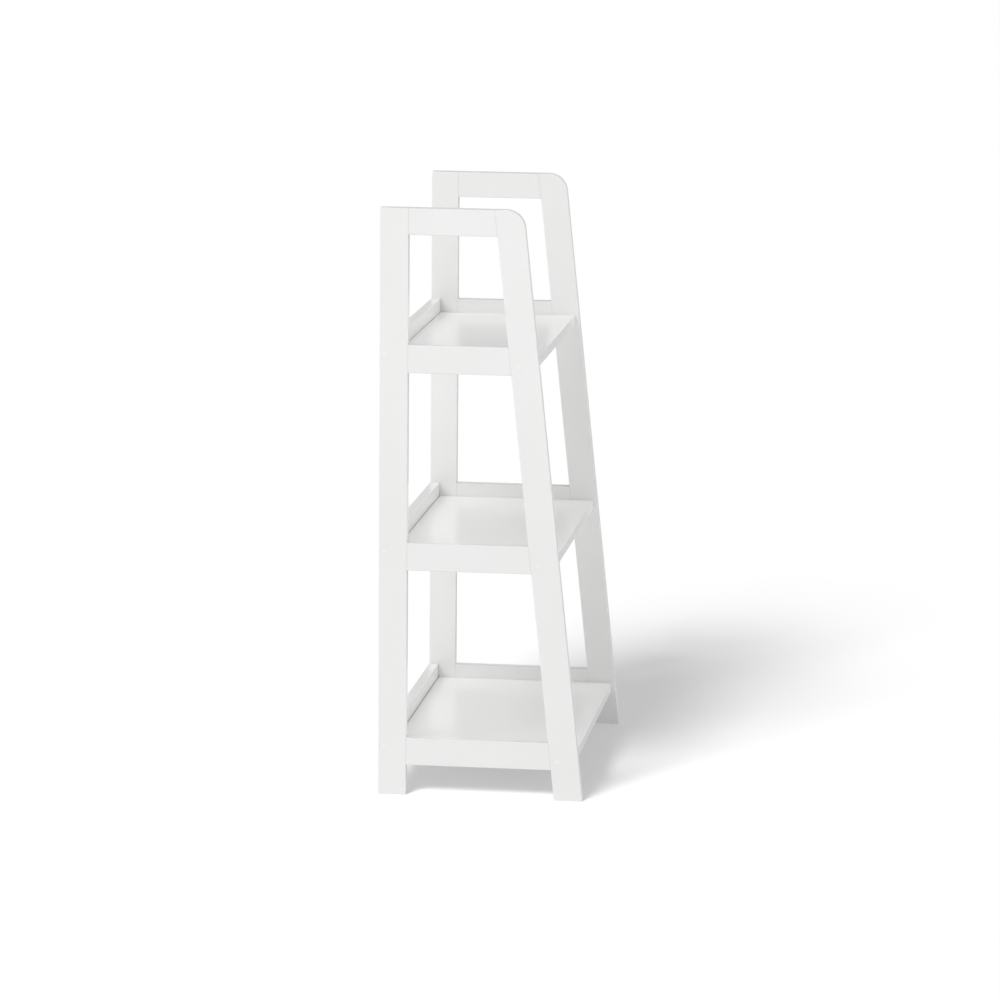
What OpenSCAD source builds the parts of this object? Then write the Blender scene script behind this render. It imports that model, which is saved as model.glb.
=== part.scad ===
// Ladder bookcase: two tapered open side frames, three shelves that grow
// deeper towards the floor, and a low rail behind each shelf.
//
// +Z is up, the open front faces -Y and X runs across the width. The origin is
// on the floor, at the middle of the width and of the depth at the floor.

/* [Overall size] */
// Height of the side frames
total_h = 900; // [880:1:1100]
// Width over the outer faces of the frames
total_w = 550; // [450:1:900]
// Depth at the floor, from the back face to the front of the feet
depth_floor = 314; // [305:1:340]
// Depth at the top, along the line of the slanted front edge
depth_top = 216; // [210:1:225]

/* [Boards] */
// Thickness of every board
board_t = 15; // [15:0.5:18]
// Width of the stiles, square to their length
stile_w = 43; // [40:0.5:50]
// Height of the frame rails beside the shelves
rail_h = 43; // [40:1:46]
// Height of the rail across the top of each frame
top_rail_h = 40.5; // [38:0.5:46]
// Height of the rails behind the shelves
back_rail_h = 43; // [30:1:46]
// Radius of the rounded corner at the top of each front stile
corner_r = 30; // [20:1:34]

/* [Shelves] */
// Height of the top face of the lowest frame rail
lowest_rail_top = 90; // [70:1:110]
// Height from one shelf to the next
shelf_pitch = 302; // [250:1:304]
// How far the frame rails stand above the shelf beside them
rail_upstand = 22; // [22:0.5:24]
// How far a shelf's front edge lies behind the slanted front edge
shelf_setback = 6.5; // [4:0.5:16]
// Gap between a shelf and the rail behind it
shelf_gap = 1; // [0.5:0.25:2]

/* [Joinery] */
// Diameter of the dowels
dowel_d = 6; // [5:0.5:6]
// Length of a dowel between a rail and a stile
frame_dowel_l = 36; // [24:1:40]
// Length of a dowel between a frame rail and a shelf
shelf_dowel_l = 30; // [24:1:32]
// Diameter of a screw's threaded shank
screw_d = 4; // [3.5:0.5:4.5]
// Length of a screw under its head
screw_l = 45; // [40:5:50]
// Diameter of a screw's head
screw_head_d = 8; // [7:0.5:8]
// Diameter of the plug over a screw's head
plug_d = 10; // [9:0.5:12]
// Depth of the counterbore that takes the head and its plug
counterbore_depth = 8; // [7:0.5:9]

/* [Hidden] */

LEFT = -1;
RIGHT = 1;
UPPER = 2;
MIDDLE = 1;
LOWER = 0;
TIERS = [LOWER, MIDDLE, UPPER];

WHITE = [0.96, 0.96, 0.95];
FILLER = [0.93, 0.93, 0.92];
BEECH = [0.80, 0.66, 0.46];
ZINC = [0.72, 0.74, 0.76];

round_fn = 48;
corner_fn = 96;
hex_fn = 6;

back_y = depth_floor / 2;
front_y = -depth_floor / 2;
// Run of the slanted front edge per unit of height, and the slant itself
slope = (depth_floor - depth_top) / total_h;
slant = atan(slope);
// Width of a front stile measured along Y
front_w = stile_w / cos(slant);
back_screw_y = back_y - board_t / 2;
shelf_back_y = back_y - board_t - shelf_gap;
inner_w = total_w - 2 * board_t;
back_stile_y = back_y - stile_w;

// Radial play round a dowel or plug, and the spare depth of its hole
play = 0.05;
end_play = 1;
// The two dowels of a joint, below the top edge of its rail. They sit high
// enough to leave the shelf screw a clear way through the front stile.
dowel_drops = [8, 20];
// A shelf dowel's distance from the stile next to it, and the share of its
// length that is in the rail, which is only one board thick
shelf_dowel_inset = 45;
dowel_share_in_rail = 1 / 3;
// A shelf screw's line, in front of the inner edge of the front stile
shelf_screw_inset = 11;
// A back rail screw's line, below the top edge of the rail
back_screw_drop = 15;
screw_tip_d = 0.7;
screw_head_h = 3.5;
screw_tip_l = 6;
drive_d = 4;
drive_depth = 2;
pilot_play = 0.05;
plug_head_gap = 0.3;
cut = 0.01;

// Y of the slanted front edge, and of the front stile's inner edge, at height z
function edge_y(z) = front_y + slope * z;
function stile_inner_y(z) = edge_y(z) + front_w;
function rail_top(tier) = lowest_rail_top + tier * shelf_pitch;
function rail_bottom(tier) = rail_top(tier) - rail_h;
function shelf_top(tier) = rail_top(tier) - rail_upstand;
function shelf_mid(tier) = shelf_top(tier) - board_t / 2;
function shelf_front_y(tier) = edge_y(shelf_top(tier)) + shelf_setback;
function shelf_screw_y(tier) = stile_inner_y(shelf_mid(tier)) - shelf_screw_inset;
function frame_inner_x(side) = side * inner_w / 2;
function frame_mid_x(side) = side * (inner_w + board_t) / 2;
function frame_outer_x(side) = side * total_w / 2;

// Heights of the two dowels of the joints at both ends of a rail
function dowel_heights(top) = [for (drop = dowel_drops) top - drop];
// Y of the dowels along a shelf's end
function shelf_dowel_ys(tier) = [
    back_stile_y - shelf_dowel_inset,
    stile_inner_y(shelf_mid(tier)) + shelf_dowel_inset
];
rail_tops = concat([for (t = TIERS) rail_top(t)], [total_h]);

// ---- Outlines of the frame boards, drawn in the Y-Z plane ----

// Stands an outline drawn as [y, z] upright and gives it one board's thickness
module frame_board(side) {
    translate([frame_mid_x(side) - board_t / 2, 0, 0])
        rotate([90, 0, 90])
            linear_extrude(board_t)
                children();
}

module back_stile_outline() {
    translate([back_stile_y, 0])
        square([stile_w, total_h]);
}

// A slanted board. Its top front corner is a sector of a circle, set where the
// board's outline steps in to the circle's centre.
module front_stile_outline() {
    centre_z = total_h - corner_r;
    centre_y = edge_y(centre_z) + corner_r / cos(slant);
    touch_y = centre_y - corner_r * cos(slant);
    touch_z = centre_z + corner_r * sin(slant);
    polygon([
        [edge_y(0), 0],
        [stile_inner_y(0), 0],
        [stile_inner_y(total_h), total_h],
        [centre_y, total_h],
        [centre_y, centre_z],
        [touch_y, touch_z]
    ]);
    translate([centre_y, centre_z])
        intersection() {
            circle(corner_r, $fn = corner_fn);
            polygon([
                [0, 0],
                [0, 2 * corner_r],
                [-2 * corner_r, 2 * corner_r],
                [-2 * corner_r * cos(slant), 2 * corner_r * sin(slant)]
            ]);
        }
}

// A rail between the stiles, square at the back and slanted at the front
module rail_outline(z_low, z_high) {
    polygon([
        [stile_inner_y(z_low), z_low],
        [back_stile_y, z_low],
        [back_stile_y, z_high],
        [stile_inner_y(z_high), z_high]
    ]);
}

// ---- Holes and the pieces that fill them ----

// Cylinders along Y at every dowel place of one frame, across the joint lines
module frame_dowel_run(side, d, l) {
    for (top = rail_tops, z = dowel_heights(top), y = [back_stile_y, stile_inner_y(z)])
        translate([frame_mid_x(side), y, z])
            rotate([90, 0, 0])
                cylinder(d = d, h = l, center = true, $fn = round_fn);
}

module frame_dowel_holes(side) {
    frame_dowel_run(side, dowel_d + 2 * play, frame_dowel_l + 2 * end_play);
}

// Cylinders along X across the joint between a shelf end and its frame rail
module shelf_dowel_run(side, tier, d, l, extra) {
    in_rail = shelf_dowel_l * dowel_share_in_rail + extra;
    for (y = shelf_dowel_ys(tier))
        translate([frame_inner_x(side) + side * in_rail, y, shelf_mid(tier)])
            rotate([0, -side * 90, 0])
                cylinder(d = d, h = l, $fn = round_fn);
}

module shelf_dowel_holes(side, tier) {
    shelf_dowel_run(side, tier, dowel_d + 2 * play,
        shelf_dowel_l + 2 * end_play, end_play);
}

// Turns +Z inwards from a frame's outer face, at one screw's place
module at_outer_face(side, y, z) {
    translate([frame_outer_x(side), y, z])
        rotate([0, -side * 90, 0])
            children();
}

// Counterbore for the head and plug, then the pilot hole of the shank
module screw_hole() {
    translate([0, 0, -cut])
        cylinder(d = plug_d + 2 * play, h = counterbore_depth + cut, $fn = round_fn);
    cylinder(d = screw_d + 2 * pilot_play,
        h = counterbore_depth + screw_l + end_play, $fn = round_fn);
}

// Countersunk-style screw: a flat head, a shank and a pointed tip
module screw() {
    translate([0, 0, counterbore_depth - screw_head_h])
        difference() {
            cylinder(d = screw_head_d, h = screw_head_h, $fn = round_fn);
            translate([0, 0, -cut])
                cylinder(d = drive_d, h = drive_depth + cut, $fn = hex_fn);
        }
    translate([0, 0, counterbore_depth])
        cylinder(d = screw_d, h = screw_l - screw_tip_l, $fn = round_fn);
    translate([0, 0, counterbore_depth + screw_l - screw_tip_l])
        cylinder(d1 = screw_d, d2 = screw_tip_d, h = screw_tip_l, $fn = round_fn);
}

// Disc of filler that closes the counterbore flush with the face
module plug() {
    cylinder(d = plug_d, h = counterbore_depth - screw_head_h - plug_head_gap,
        $fn = round_fn);
}

module at_shelf_screws(side) {
    for (t = TIERS)
        at_outer_face(side, shelf_screw_y(t), shelf_mid(t))
            children();
}

module at_back_rail_screws(side) {
    for (t = TIERS)
        at_outer_face(side, back_screw_y, rail_top(t) - back_screw_drop)
            children();
}

// ---- Side frames ----

module back_stile(side) {
    color(WHITE)
        difference() {
            frame_board(side)
                back_stile_outline();
            frame_dowel_holes(side);
            at_back_rail_screws(side)
                screw_hole();
        }
}

module front_stile(side) {
    color(WHITE)
        difference() {
            frame_board(side)
                front_stile_outline();
            frame_dowel_holes(side);
            at_shelf_screws(side)
                screw_hole();
        }
}

module top_rail(side) {
    color(WHITE)
        difference() {
            frame_board(side)
                rail_outline(total_h - top_rail_h, total_h);
            frame_dowel_holes(side);
        }
}

module side_rail(side, tier) {
    color(WHITE)
        difference() {
            frame_board(side)
                rail_outline(rail_bottom(tier), rail_top(tier));
            frame_dowel_holes(side);
            shelf_dowel_holes(side, tier);
        }
}

// ---- Shelves and back rails ----

module shelf(tier) {
    y = shelf_front_y(tier);
    color(WHITE)
        difference() {
            translate([-inner_w / 2, y, shelf_top(tier) - board_t])
                cube([inner_w, shelf_back_y - y, board_t]);
            for (side = [LEFT, RIGHT]) {
                shelf_dowel_holes(side, tier);
                at_shelf_screws(side)
                    screw_hole();
            }
        }
}

module back_rail(tier) {
    color(WHITE)
        difference() {
            translate([-inner_w / 2, back_y - board_t, rail_top(tier) - back_rail_h])
                cube([inner_w, board_t, back_rail_h]);
            for (side = [LEFT, RIGHT])
                at_back_rail_screws(side)
                    screw_hole();
        }
}

// ---- Fastenings ----

module frame_dowels(side) {
    color(BEECH)
        frame_dowel_run(side, dowel_d, frame_dowel_l);
}

module shelf_dowels(tier) {
    color(BEECH)
        for (side = [LEFT, RIGHT])
            shelf_dowel_run(side, tier, dowel_d, shelf_dowel_l, 0);
}

module shelf_screws() {
    color(ZINC)
        for (side = [LEFT, RIGHT])
            at_shelf_screws(side)
                screw();
}

module back_rail_screws() {
    color(ZINC)
        for (side = [LEFT, RIGHT])
            at_back_rail_screws(side)
                screw();
}

module screw_plugs(side) {
    color(FILLER) {
        at_shelf_screws(side)
            plug();
        at_back_rail_screws(side)
            plug();
    }
}

back_stile(LEFT);  // left_back_stile
front_stile(LEFT);  // left_front_stile
top_rail(LEFT);  // left_top_rail
side_rail(LEFT, UPPER);  // left_upper_rail
side_rail(LEFT, MIDDLE);  // left_middle_rail
side_rail(LEFT, LOWER);  // left_lower_rail
back_stile(RIGHT);  // right_back_stile
front_stile(RIGHT);  // right_front_stile
top_rail(RIGHT);  // right_top_rail
side_rail(RIGHT, UPPER);  // right_upper_rail
side_rail(RIGHT, MIDDLE);  // right_middle_rail
side_rail(RIGHT, LOWER);  // right_lower_rail
shelf(UPPER);  // upper_shelf
shelf(MIDDLE);  // middle_shelf
shelf(LOWER);  // lower_shelf
back_rail(UPPER);  // upper_back_rail
back_rail(MIDDLE);  // middle_back_rail
back_rail(LOWER);  // lower_back_rail
frame_dowels(LEFT);  // left_frame_dowels
frame_dowels(RIGHT);  // right_frame_dowels
shelf_dowels(UPPER);  // upper_shelf_dowels
shelf_dowels(MIDDLE);  // middle_shelf_dowels
shelf_dowels(LOWER);  // lower_shelf_dowels
shelf_screws();
back_rail_screws();
screw_plugs(LEFT);  // left_screw_plugs
screw_plugs(RIGHT);  // right_screw_plugs
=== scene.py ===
"""The looks of a ladder bookcase: sprayed white boards with eased arrises, hairline
joints and painted-over screw plugs, on a pale floor in soft studio light."""

import math
from collections import namedtuple

import bmesh
import bpy
from mathutils import Matrix, Vector


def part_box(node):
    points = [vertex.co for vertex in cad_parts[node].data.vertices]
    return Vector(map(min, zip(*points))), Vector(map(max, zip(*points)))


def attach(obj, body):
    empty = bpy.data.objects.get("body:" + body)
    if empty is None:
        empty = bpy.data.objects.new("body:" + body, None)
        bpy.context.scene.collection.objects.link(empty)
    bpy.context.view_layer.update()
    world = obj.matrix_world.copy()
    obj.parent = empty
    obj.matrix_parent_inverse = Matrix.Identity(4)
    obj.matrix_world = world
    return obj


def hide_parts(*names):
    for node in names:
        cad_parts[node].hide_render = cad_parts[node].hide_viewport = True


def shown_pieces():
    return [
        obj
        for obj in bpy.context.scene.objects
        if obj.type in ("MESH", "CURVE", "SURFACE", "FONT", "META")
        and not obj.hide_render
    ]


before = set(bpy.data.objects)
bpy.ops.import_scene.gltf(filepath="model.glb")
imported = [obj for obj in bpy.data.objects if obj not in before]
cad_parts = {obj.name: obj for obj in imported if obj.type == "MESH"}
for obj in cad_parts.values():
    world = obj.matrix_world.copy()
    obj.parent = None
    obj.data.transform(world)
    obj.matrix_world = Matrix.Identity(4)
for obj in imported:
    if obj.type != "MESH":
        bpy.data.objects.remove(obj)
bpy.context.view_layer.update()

MM = 0.001
SIDES = ("left", "right")
TIERS = ("lower", "middle", "upper")

# ---- Sizes read from the frame ----

back_stile_lo, back_stile_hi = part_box("left_back_stile")
front_stile_lo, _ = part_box("left_front_stile")
top_rail_lo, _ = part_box("left_top_rail")
lower_rail_lo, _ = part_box("left_lower_rail")
BACK_Y = back_stile_hi.y
BACK_STILE_Y = back_stile_lo.y
FRONT_Y = front_stile_lo.y
TOP_Z = back_stile_hi.z
# Run of the slanted front edge per unit of height, from the rails' front ends, and
# the front stile's width along Y
LEAN = (top_rail_lo.y - lower_rail_lo.y) / (top_rail_lo.z - lower_rail_lo.z)
FRONT_W = lower_rail_lo.y - LEAN * lower_rail_lo.z - FRONT_Y
# Radius of the rounded corner at the top of each front stile, which no box gives
CORNER_R = 30 * MM

# ---- Edges of the boards ----

# Radii of an open arris, of a joint's hairline edge, and of an outline's small rounds
ARRIS_R = 0.7 * MM
SEAM_R = 0.22 * MM
FILLET_R = 0.7 * MM
# Length over which a stile's edge tightens from an open arris to a joint
SEAM_EASE = 4 * MM
# How far inside an edge face its rim's wear has faded out
WEAR_REACH = 0.5 * MM
# The sharpest bend that still shades as one surface
SMOOTH_BEND = math.radians(40)
# The sine of the slightest turn that counts as a corner of an outline
STRAIGHT = 0.02
# How far large faces outweigh small ones in the shading: 50 is not at all, 100 fully
FACE_WEIGHT = 100
RIM_STEPS = 4
FILLET_STEPS = 4
CORNER_STEPS = 20

# ---- Plugs over the screws ----

PLUG_STEPS = 48
# Rings from a board's face down a plug's pocket to its floor: (radius beyond the
# plug's own, depth)
POCKET_RINGS = [(0.22 * MM, 0), (0.12 * MM, 0.03 * MM), (0.07 * MM, 0.1 * MM),
                (0.05 * MM, 0.25 * MM), (0.05 * MM, 4.4 * MM)]
# Rings from a plug's inner end out to its slightly sunk, eased face, in the same terms
PLUG_RINGS = [(0, 4.2 * MM), (0, 0.2 * MM), (-0.05 * MM, 0.08 * MM), (-0.16 * MM, 0.03 * MM),
              (-0.5 * MM, 0.015 * MM)]

# ---- Tones ----

# The two tones that each material drifts between, in linear light
LACQUER_TONES = (0.875, 0.875, 0.868, 1), (0.900, 0.900, 0.896, 1)
FILLER_TONES = (0.905, 0.905, 0.900, 1), (0.925, 0.925, 0.922, 1)
BEECH_TONES = (0.50, 0.33, 0.18, 1), (0.68, 0.49, 0.30, 1)
ZINC_TONES = (0.50, 0.52, 0.54, 1), (0.68, 0.69, 0.70, 1)
# The darker tone that the colour is mixed towards along a joint, and its share there
SEAM_TONE = (0.50, 0.50, 0.49, 1)
SEAM_SHARE = 0.55
FLOOR_TONE = (0.5, 0.5, 0.5, 1)
WHITE = (1, 1, 1, 1)

# ---- Studio and camera ----

# Lengths in metres, angles in degrees, the lens and its sensor in millimetres
SKY_STRENGTH = 0.3
FLOOR_GLOW = 0.28
FLOOR_HALF = 40
FLOOR_CELLS = 8
LIGHT_DISTANCE = 6
SOFTBOX_SIZE = 4.4
CAMERA_PLACE = Vector((-6.860, -0.885, 1.641))
CAMERA_YAW, CAMERA_PITCH, CAMERA_ROLL = 82.58, -10.07, 0.48
CAMERA_LENS, SENSOR = 161.3, 36.0
CAMERA_REACH = 100


def inner_y(z):
    """Y of the front stile's inner edge at height z."""
    return FRONT_Y + LEAN * z + FRONT_W


def outer_y(z):
    """Y of the front stile's outer edge at height z."""
    return FRONT_Y + LEAN * z


# ---- Board outlines: points in the Y-Z plane, anticlockwise with +Y right and +Z up ----

# r_in and r_out are the rim radii of the edges into and out of the point; worn marks
# the points inside a rounded corner of the outline
Point = namedtuple("Point", "y z r_in r_out worn")


def point(y, z, r_in, r_out=None, worn=False):
    return Point(y, z, r_in, r_in if r_out is None else r_out, worn)


def arc(centre_y, centre_z, radius, start, end, steps, rim):
    """Points of an arc in the Y-Z plane, angles in degrees from +Y towards +Z."""
    points = []
    for k in range(steps + 1):
        a = math.radians(start + (end - start) * k / steps)
        points.append(point(centre_y + radius * math.cos(a), centre_z + radius * math.sin(a), rim))
    return points


def fillet(corner, before, after, rim):
    """A small round at an outline's corner, between its two neighbours."""
    c, a, b = Vector(corner), Vector(before), Vector(after)
    to_a, to_b = (a - c).normalized(), (b - c).normalized()
    half = to_a.angle(to_b) / 2
    centre = c + (to_a + to_b).normalized() * (FILLET_R / math.sin(half))
    first = c + to_a * (FILLET_R / math.tan(half)) - centre
    turn = math.pi - 2 * half
    sign = 1 if to_a.x * to_b.y - to_a.y * to_b.x < 0 else -1
    points = []
    for k in range(FILLET_STEPS + 1):
        t = sign * turn * k / FILLET_STEPS
        y = centre.x + first.x * math.cos(t) - first.y * math.sin(t)
        z = centre.y + first.x * math.sin(t) + first.y * math.cos(t)
        points.append(point(y, z, rim, worn=0 < k < FILLET_STEPS))
    return points


def joint_spans(side):
    """(bottom, top) of every rail that meets a frame's stiles, from the floor up."""
    spans = []
    for rail in [f"{tier}_rail" for tier in TIERS] + ["top_rail"]:
        lo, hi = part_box(f"{side}_{rail}")
        spans.append((lo.z, hi.z))
    return spans


def joint_edge(side, y_at):
    """Points up a stile's inner edge, tight where rails meet it and eased elsewhere."""
    points = []
    for low, high in joint_spans(side):
        points.append(point(y_at(low - SEAM_EASE), low - SEAM_EASE, ARRIS_R))
        points.append(point(y_at(low), low, SEAM_R))
        points.append(point(y_at(high), high, SEAM_R))
        if high < TOP_Z - SEAM_EASE:
            points.append(point(y_at(high + SEAM_EASE), high + SEAM_EASE, ARRIS_R))
    points[-1] = points[-1]._replace(r_out=ARRIS_R)
    return points


def back_stile_outline(side):
    foot_in, foot_out = (BACK_STILE_Y, 0), (BACK_Y, 0)
    top_in, top_out = (BACK_STILE_Y, TOP_Z), (BACK_Y, TOP_Z)
    inner_edge = joint_edge(side, lambda z: BACK_STILE_Y)
    return (
        fillet(foot_in, top_in, foot_out, ARRIS_R)
        + fillet(foot_out, foot_in, top_out, ARRIS_R)
        + fillet(top_out, foot_out, top_in, ARRIS_R)
        + [point(p.y, p.z, p.r_out, p.r_in) for p in reversed(inner_edge)]
    )


def front_stile_outline(side):
    slant = math.atan(LEAN)
    centre_z = TOP_Z - CORNER_R
    centre_y = outer_y(centre_z) + CORNER_R / math.cos(slant)
    foot_out, foot_in = (outer_y(0), 0), (inner_y(0), 0)
    corner = arc(centre_y, centre_z, CORNER_R, 90, 180 - math.degrees(slant), CORNER_STEPS, ARRIS_R)
    return (
        fillet(foot_out, (outer_y(TOP_Z), TOP_Z), foot_in, ARRIS_R)
        + fillet(foot_in, foot_out, (inner_y(TOP_Z), TOP_Z), ARRIS_R)
        + joint_edge(side, inner_y)
        + corner
    )


def rail_outline(node):
    """A frame rail between its stiles: tight at both ends, with open arrises between."""
    lo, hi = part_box(node)
    return [
        point(inner_y(lo.z), lo.z, SEAM_R, ARRIS_R),
        point(BACK_STILE_Y, lo.z, ARRIS_R, SEAM_R),
        point(BACK_STILE_Y, hi.z, SEAM_R, ARRIS_R),
        point(inner_y(hi.z), hi.z, ARRIS_R, SEAM_R),
    ]


def box_outline(node):
    """A shelf's or back rail's section, with every long arris eased."""
    lo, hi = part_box(node)
    corners = [(lo.y, lo.z), (hi.y, lo.z), (hi.y, hi.z), (lo.y, hi.z)]
    points = []
    for i, corner in enumerate(corners):
        points += fillet(corner, corners[i - 1], corners[(i + 1) % 4], SEAM_R)
    return points


# ---- Board meshes ----


def inset_move(before, here, after):
    """How an outline's point moves when its two edges are set back by their own radii."""
    r_in, r_out = here.r_in, here.r_out
    into = Vector((here.y - before.y, here.z - before.z)).normalized()
    out = Vector((after.y - here.y, after.z - here.z)).normalized()
    n_in, n_out = Vector((-into.y, into.x)), Vector((-out.y, out.x))
    cross = into.x * out.y - into.y * out.x
    if abs(cross) < STRAIGHT:
        return (n_in + n_out).normalized() * max(r_in, r_out)
    # The point where the two set-back edges cross
    along = (r_out - r_in * n_in.dot(n_out)) / n_out.dot(into)
    return n_in * r_in + into * along


def rim_rings(outline, face_x, inward):
    """Rings of (place, arris wear, seam mark) from a flat face's edge, over the rim and
    on to where the wear has faded out."""
    count = len(outline)
    moves = [inset_move(outline[i - 1], outline[i], outline[(i + 1) % count]) for i in range(count)]
    rings = []
    for k in range(RIM_STEPS + 2):
        a = math.pi / 2 * min(k, RIM_STEPS) / RIM_STEPS
        on_rim = 0 < k <= RIM_STEPS
        ring = []
        for here, move in zip(outline, moves):
            set_back = move * (1 - math.sin(a))
            depth = max(here.r_in, here.r_out) * (1 - math.cos(a)) + (k > RIM_STEPS) * WEAR_REACH
            tight = min(here.r_in, here.r_out) < ARRIS_R
            place = Vector((face_x + inward * depth, here.y + set_back.x, here.z + set_back.y))
            ring.append((place, float(here.worn or on_rim and not tight), float(on_rim and tight)))
        rings.append(ring)
    return rings


def plug_ring(centre_y, centre_z, radius, x):
    """Places round a circle in the plane at x."""
    return [
        Vector((x, centre_y + radius * math.cos(a), centre_z + radius * math.sin(a)))
        for a in (2 * math.pi * k / PLUG_STEPS for k in range(PLUG_STEPS))
    ]


def new_piece(name, bm, material):
    """Turns a built mesh into a finished piece, smooth but for its sharp bends."""
    bmesh.ops.recalc_face_normals(bm, faces=bm.faces)
    for face in bm.faces:
        face.smooth = True
    for edge in bm.edges:
        edge.smooth = edge.calc_face_angle(0) < SMOOTH_BEND
    mesh = bpy.data.meshes.new(name)
    bm.to_mesh(mesh)
    bm.free()
    mesh.materials.append(material)
    piece = bpy.data.objects.new(name, mesh)
    bpy.context.scene.collection.objects.link(piece)
    even = piece.modifiers.new("even_shading", "WEIGHTED_NORMAL")
    even.weight = FACE_WEIGHT
    even.keep_sharp = True
    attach(piece, "root")
    return piece


def bridge(bm, ring_a, ring_b):
    """Joins two rings of as many vertices with a band of faces."""
    for i in range(len(ring_a)):
        bm.faces.new((ring_a[i - 1], ring_a[i], ring_b[i], ring_b[i - 1]))


def flat_face(bm, ring, holes):
    """Fills a board's broad face, leaving the round holes of its plugs open."""
    if not holes:
        bm.faces.new(ring)
        return
    edges = []
    for loop in [ring] + holes:
        for i in range(len(loop)):
            ends = (loop[i - 1], loop[i])
            edges.append(bm.edges.get(ends) or bm.edges.new(ends))
    bmesh.ops.triangle_fill(bm, use_beauty=True, edges=edges)


def stack_rings(bm, ring, plug, face_x, inward, steps):
    """Adds rings of (extra radius, depth) to a plug's first ring and caps the last one."""
    _, y, z, radius = plug
    for extra, depth in steps:
        spots = plug_ring(y, z, radius + extra, face_x + inward * depth)
        verts = [bm.verts.new(spot) for spot in spots]
        bridge(bm, ring, verts)
        ring = verts
    bm.faces.new(ring)


def board(node, outline, material, plugs=()):
    """One sprayed board: two flat faces, rounded rims and straight edges between them.
    plugs are the (x, y, z, radius) of the plugs let into its faces."""
    lo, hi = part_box(node)
    bm = bmesh.new()
    arris = bm.verts.layers.float.new("arris")
    seam = bm.verts.layers.float.new("seam")
    rings = rim_rings(outline, lo.x, 1) + rim_rings(outline, hi.x, -1)[::-1]
    made = []
    for ring in rings:
        verts = []
        for place, wear, mark in ring:
            vert = bm.verts.new(place)
            vert[arris], vert[seam] = wear, mark
            verts.append(vert)
        made.append(verts)
    for near, far in zip(made, made[1:]):
        bridge(bm, near, far)
    for ring, face_x, inward in ((made[0], lo.x, 1), (made[-1], hi.x, -1)):
        let_in = [plug for plug in plugs if abs(plug[0] - face_x) < MM]
        holes = []
        for _, y, z, radius in let_in:
            rim = plug_ring(y, z, radius + POCKET_RINGS[0][0], face_x)
            holes.append([bm.verts.new(spot) for spot in rim])
        flat_face(bm, ring, holes)
        for hole, plug in zip(holes, let_in):
            stack_rings(bm, hole, plug, face_x, inward, POCKET_RINGS[1:])
    piece = new_piece(f"{node}_board", bm, material)
    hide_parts(node)


# ---- Plugs ----


def plug_places(side):
    """(x, y, z, radius) of each plug of a frame, with x on the frame's outer face."""
    lo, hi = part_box(f"{side}_screw_plugs")
    outer_x = lo.x if side == "left" else hi.x
    bm = bmesh.new()
    bm.from_mesh(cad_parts[f"{side}_screw_plugs"].data)
    bmesh.ops.remove_doubles(bm, verts=bm.verts, dist=MM / 100)
    places, seen = [], set()
    for start in bm.verts:
        if start in seen:
            continue
        island, waiting = [], [start]
        seen.add(start)
        while waiting:
            vert = waiting.pop()
            island.append(vert.co)
            for edge in vert.link_edges:
                other = edge.other_vert(vert)
                if other not in seen:
                    seen.add(other)
                    waiting.append(other)
        ys, zs = [p.y for p in island], [p.z for p in island]
        centre_y, centre_z = (min(ys) + max(ys)) / 2, (min(zs) + max(zs)) / 2
        places.append((outer_x, centre_y, centre_z, (max(ys) - min(ys)) / 2))
    bm.free()
    return places


def plug_discs(side, places, material):
    """The filled and painted discs of one frame, each in its pocket."""
    inward = 1 if side == "left" else -1
    bm = bmesh.new()
    inner_end = PLUG_RINGS[0][1]
    for plug in places:
        x, y, z, radius = plug
        first = [bm.verts.new(spot) for spot in plug_ring(y, z, radius, x + inward * inner_end)]
        bm.faces.new(first)
        stack_rings(bm, first, plug, x, inward, PLUG_RINGS[1:])
    piece = new_piece(f"{side}_plug_discs", bm, material)
    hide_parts(f"{side}_screw_plugs")


# ---- Materials ----


def node_tree(name):
    """A new material, its nodes and its shader."""
    material = bpy.data.materials.new(name)
    material.use_nodes = True
    tree = material.node_tree
    return material, tree, tree.nodes["Principled BSDF"]


def add(tree, kind, **values):
    """A shader node with its properties and its inputs' values set."""
    made = tree.nodes.new(kind)
    for key, value in values.items():
        if key in made.inputs:
            made.inputs[key].default_value = value
        else:
            setattr(made, key, value)
    return made


def add_textures(tree, *kinds_and_values):
    """Textures in the object's own coordinates, each from its (kind, values)."""
    place = add(tree, "ShaderNodeTexCoord")
    textures = [add(tree, kind, **values) for kind, values in kinds_and_values]
    for texture in textures:
        tree.links.new(place.outputs["Object"], texture.inputs["Vector"])
    return textures


def add_range(tree, source, from_range, to_range):
    """The output of a source stretched from one range of values to another."""
    ranged = add(tree, "ShaderNodeMapRange")
    ends = dict(zip(("From Min", "From Max", "To Min", "To Max"), from_range + to_range))
    for key, value in ends.items():
        ranged.inputs[key].default_value = value
    tree.links.new(source, ranged.inputs["Value"])
    return ranged.outputs["Result"]


def add_sum(tree, source, share, base):
    """The output of a source's share added to a base."""
    summed = add(tree, "ShaderNodeMath", operation="MULTIPLY_ADD")
    summed.inputs[1].default_value = share
    tree.links.new(source, summed.inputs[0])
    tree.links.new(base, summed.inputs[2])
    return summed.outputs["Value"]


def add_tones(tree, source, tones, positions):
    """The output of a ramp from one tone to another between two values of a source."""
    ramp = add(tree, "ShaderNodeValToRGB")
    for stop, tone, position in zip(ramp.color_ramp.elements, tones, positions):
        stop.position, stop.color = position, tone
    tree.links.new(source, ramp.inputs["Fac"])
    return ramp.outputs["Color"]


def add_bump(tree, shader, height, strength, distance):
    bump = add(tree, "ShaderNodeBump", Strength=strength, Distance=distance)
    tree.links.new(height, bump.inputs["Height"])
    tree.links.new(bump.outputs["Normal"], shader.inputs["Normal"])


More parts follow.
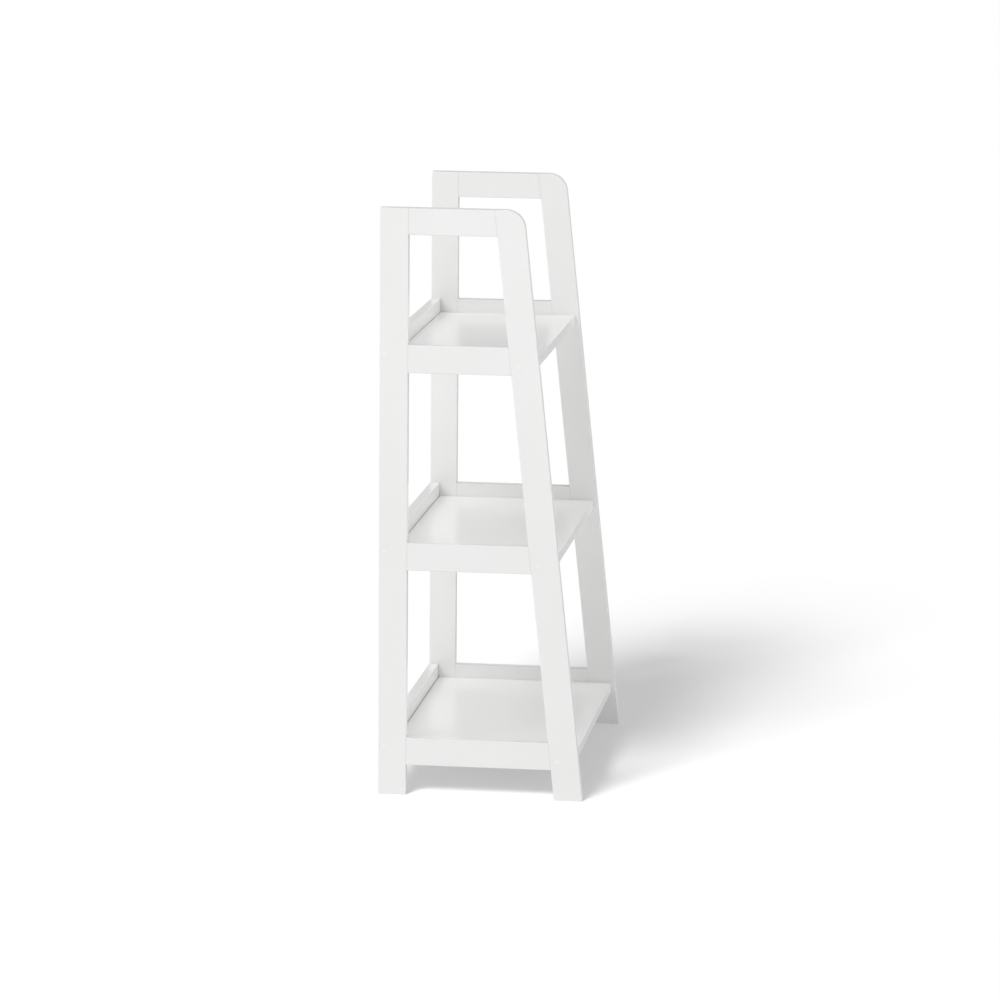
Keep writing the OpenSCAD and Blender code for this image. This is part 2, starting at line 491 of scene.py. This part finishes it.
def white_lacquer(name, tones):
    """Sprayed satin white on fibreboard: orange peel, a little dust, rubbed arrises."""
    material, tree, shader = node_tree(name)
    link = tree.links.new
    broad, peel, dust, mist = add_textures(
        tree,
        ("ShaderNodeTexNoise", {"Scale": 5.0, "Detail": 3.0, "Roughness": 0.5}),
        ("ShaderNodeTexNoise", {"Scale": 420.0, "Detail": 2.0, "Roughness": 0.45}),
        ("ShaderNodeTexVoronoi", {"Scale": 90.0}),
        ("ShaderNodeTexNoise", {"Scale": 1600.0, "Detail": 2.0, "Roughness": 0.6}),
    )
    arris = add(tree, "ShaderNodeAttribute", attribute_name="arris")
    seam = add(tree, "ShaderNodeAttribute", attribute_name="seam")

    # Colour: a slow drift between the two tones, darker where boards meet
    drift = add(tree, "ShaderNodeMix", data_type="RGBA", A=tones[0], B=tones[1])
    spread = add_range(tree, broad.outputs["Fac"], from_range=(0.3, 0.7), to_range=(0.0, 1.0))
    link(spread, drift.inputs["Factor"])
    mark = add(tree, "ShaderNodeMath", operation="MULTIPLY")
    mark.inputs[1].default_value = SEAM_SHARE
    link(seam.outputs["Fac"], mark.inputs[0])
    seamed = add(tree, "ShaderNodeMix", data_type="RGBA", B=SEAM_TONE)
    link(mark.outputs["Value"], seamed.inputs["Factor"])
    link(drift.outputs["Result"], seamed.inputs["A"])
    link(seamed.outputs["Result"], shader.inputs["Base Color"])

    # Gloss: a fine mist of the spray, smoother where an arris is rubbed
    satin = add_range(tree, mist.outputs["Fac"], from_range=(0.25, 0.75), to_range=(0.20, 0.27))
    gloss = add_sum(tree, arris.outputs["Fac"], share=-0.03, base=satin)
    link(gloss, shader.inputs["Roughness"])
    shader.inputs["Specular IOR Level"].default_value = 0.2

    # Relief: orange peel with specks of dust in it
    specks = add_range(tree, dust.outputs["Distance"], from_range=(0.03, 0.10), to_range=(1.0, 0.0))
    relief = add_sum(tree, specks, share=0.25, base=peel.outputs["Fac"])
    add_bump(tree, shader, relief, strength=0.05, distance=0.0004)
    return material


def beech():
    """Bare turned beech: a fine mottled grain and small flecks in relief."""
    material, tree, shader = node_tree("beech")
    grain, fleck = add_textures(
        tree,
        ("ShaderNodeTexNoise", {"Scale": 350.0, "Detail": 4.0, "Roughness": 0.6}),
        ("ShaderNodeTexVoronoi", {"Scale": 700.0}),
    )
    tone = add_tones(tree, grain.outputs["Fac"], BEECH_TONES, positions=(0.35, 0.65))
    tree.links.new(tone, shader.inputs["Base Color"])
    add_bump(tree, shader, fleck.outputs["Distance"], strength=0.3, distance=0.0002)
    shader.inputs["Roughness"].default_value = 0.7
    return material


def zinc_steel():
    """Bright zinc plate: a cloudy tone and a gloss that varies finely."""
    material, tree, shader = node_tree("zinc_steel")
    cloud, fine = add_textures(
        tree,
        ("ShaderNodeTexNoise", {"Scale": 260.0, "Detail": 3.0, "Roughness": 0.5}),
        ("ShaderNodeTexNoise", {"Scale": 2400.0, "Detail": 2.0, "Roughness": 0.7}),
    )
    tone = add_tones(tree, cloud.outputs["Fac"], ZINC_TONES, positions=(0.0, 1.0))
    tree.links.new(tone, shader.inputs["Base Color"])
    gloss = add_range(tree, fine.outputs["Fac"], from_range=(0.0, 1.0), to_range=(0.22, 0.42))
    tree.links.new(gloss, shader.inputs["Roughness"])
    shader.inputs["Metallic"].default_value = 1.0
    return material


def paint_cad(node, material):
    """Gives a CAD node that stays its finished material."""
    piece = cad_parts[node]
    piece.data.materials.clear()
    piece.data.materials.append(material)


# ---- The object ----

lacquer = white_lacquer("white_lacquer", LACQUER_TONES)
filler = white_lacquer("painted_filler", FILLER_TONES)
wood = beech()
steel = zinc_steel()

for side in SIDES:
    plugs = plug_places(side)
    in_back = [plug for plug in plugs if plug[1] > BACK_STILE_Y]
    in_front = [plug for plug in plugs if plug[1] < BACK_STILE_Y]
    board(f"{side}_back_stile", back_stile_outline(side), lacquer, in_back)
    board(f"{side}_front_stile", front_stile_outline(side), lacquer, in_front)
    plug_discs(side, plugs, filler)
    for rail in ["top_rail"] + [f"{tier}_rail" for tier in TIERS]:
        board(f"{side}_{rail}", rail_outline(f"{side}_{rail}"), lacquer)
    paint_cad(f"{side}_frame_dowels", wood)
for tier in TIERS:
    for name in ("shelf", "back_rail"):
        board(f"{tier}_{name}", box_outline(f"{tier}_{name}"), lacquer)
    paint_cad(f"{tier}_shelf_dowels", wood)
for screws in ("shelf_screws", "back_rail_screws"):
    paint_cad(screws, steel)

# ---- Floor, light and camera ----


def make_floor():
    """A pale sheet that glows a little, so that shadows on it stay soft and light. It has
    no mirror image in the paint, where it would brighten boards seen at a grazing angle."""
    material, _, shader = node_tree("floor")
    shader.inputs["Base Color"].default_value = FLOOR_TONE
    shader.inputs["Roughness"].default_value = 0.9
    shader.inputs["Emission Color"].default_value = WHITE
    shader.inputs["Emission Strength"].default_value = FLOOR_GLOW
    bm = bmesh.new()
    bmesh.ops.create_grid(bm, x_segments=FLOOR_CELLS, y_segments=FLOOR_CELLS, size=FLOOR_HALF)
    mesh = bpy.data.meshes.new("floor")
    bm.to_mesh(mesh)
    bm.free()
    mesh.materials.append(material)
    floor = bpy.data.objects.new("floor", mesh)
    bpy.context.scene.collection.objects.link(floor)
    floor.visible_glossy = False
    return floor


def towards(turn, height):
    """The direction of a light: turn is its bearing from -X towards +Y and height its
    angle above the floor, in degrees."""
    a, e = math.radians(turn), math.radians(height)
    return Vector((-math.cos(a) * math.cos(e), math.sin(a) * math.cos(e), math.sin(e)))


def hang(name, light, direction, receivers):
    """Puts a light up, aimed at the middle of the bookcase, for its receivers only."""
    lamp = bpy.data.objects.new(name, light)
    lamp.location = Vector((0, 0, TOP_Z / 2)) + direction * LIGHT_DISTANCE
    lamp.rotation_euler = direction.to_track_quat("Z", "Y").to_euler()
    bpy.context.scene.collection.objects.link(lamp)
    lamp.light_linking.receiver_collection = receivers


def softbox(name, direction, strength, receivers):
    """A round softbox near enough to light the top of the bookcase more than its feet."""
    light = bpy.data.lights.new(name, "AREA")
    light.shape = "DISK"
    light.size = SOFTBOX_SIZE
    light.energy = strength * math.pi * LIGHT_DISTANCE**2
    hang(name, light, direction, receivers)


def wash(name, direction, strength, spread, receivers):
    """Even light from a patch of the studio's walls that looks spread degrees wide."""
    light = bpy.data.lights.new(name, "SUN")
    light.energy = strength
    light.angle = math.radians(spread)
    hang(name, light, direction, receivers)


def group(name, members):
    """A collection that light linking can name, outside the scene's own."""
    made = bpy.data.collections.new(name)
    for member in members:
        made.objects.link(member)
    return made


def make_camera():
    """Sets the scene's camera. Its yaw turns from +Y towards +X."""
    yaw, pitch, roll = (math.radians(a) for a in (CAMERA_YAW, CAMERA_PITCH, CAMERA_ROLL))
    reach = math.cos(pitch)
    ahead = Vector((math.sin(yaw) * reach, math.cos(yaw) * reach, math.sin(pitch)))
    level = ahead.cross(Vector((0, 0, 1))).normalized()
    lift = level.cross(ahead)
    right = level * math.cos(roll) + lift * math.sin(roll)
    up = lift * math.cos(roll) - level * math.sin(roll)
    data = bpy.data.cameras.new("camera")
    data.lens = CAMERA_LENS
    data.sensor_width = SENSOR
    data.clip_end = CAMERA_REACH
    camera = bpy.data.objects.new("camera", data)
    turn = Matrix((right, up, -ahead)).transposed().to_4x4()
    camera.matrix_world = Matrix.Translation(CAMERA_PLACE) @ turn
    bpy.context.scene.collection.objects.link(camera)
    bpy.context.scene.camera = camera


def make_world():
    """An even white sky all round."""
    world = bpy.data.worlds.new("studio")
    world.use_nodes = True
    background = world.node_tree.nodes["Background"]
    background.inputs["Color"].default_value = WHITE
    background.inputs["Strength"].default_value = SKY_STRENGTH
    bpy.context.scene.world = world


# The bookcase and the floor have lights of their own
bookcase = group("bookcase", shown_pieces())
table = group("table", [make_floor()])
overhead = towards(turn=0, height=90)
make_world()
softbox("key", towards(turn=35, height=40), strength=1.25, receivers=bookcase)
wash("front_fill", towards(turn=-90, height=40), strength=1.1, spread=60, receivers=bookcase)
wash("back_fill", towards(turn=90, height=40), strength=0.57, spread=60, receivers=bookcase)
wash("overhead", overhead, strength=0.25, spread=90, receivers=bookcase)
wash("floor_key", towards(turn=22, height=42), strength=4.4, spread=21, receivers=table)
wash("floor_overhead", overhead, strength=0.64, spread=120, receivers=table)
make_camera()
bpy.context.scene.view_settings.view_transform = "Standard"
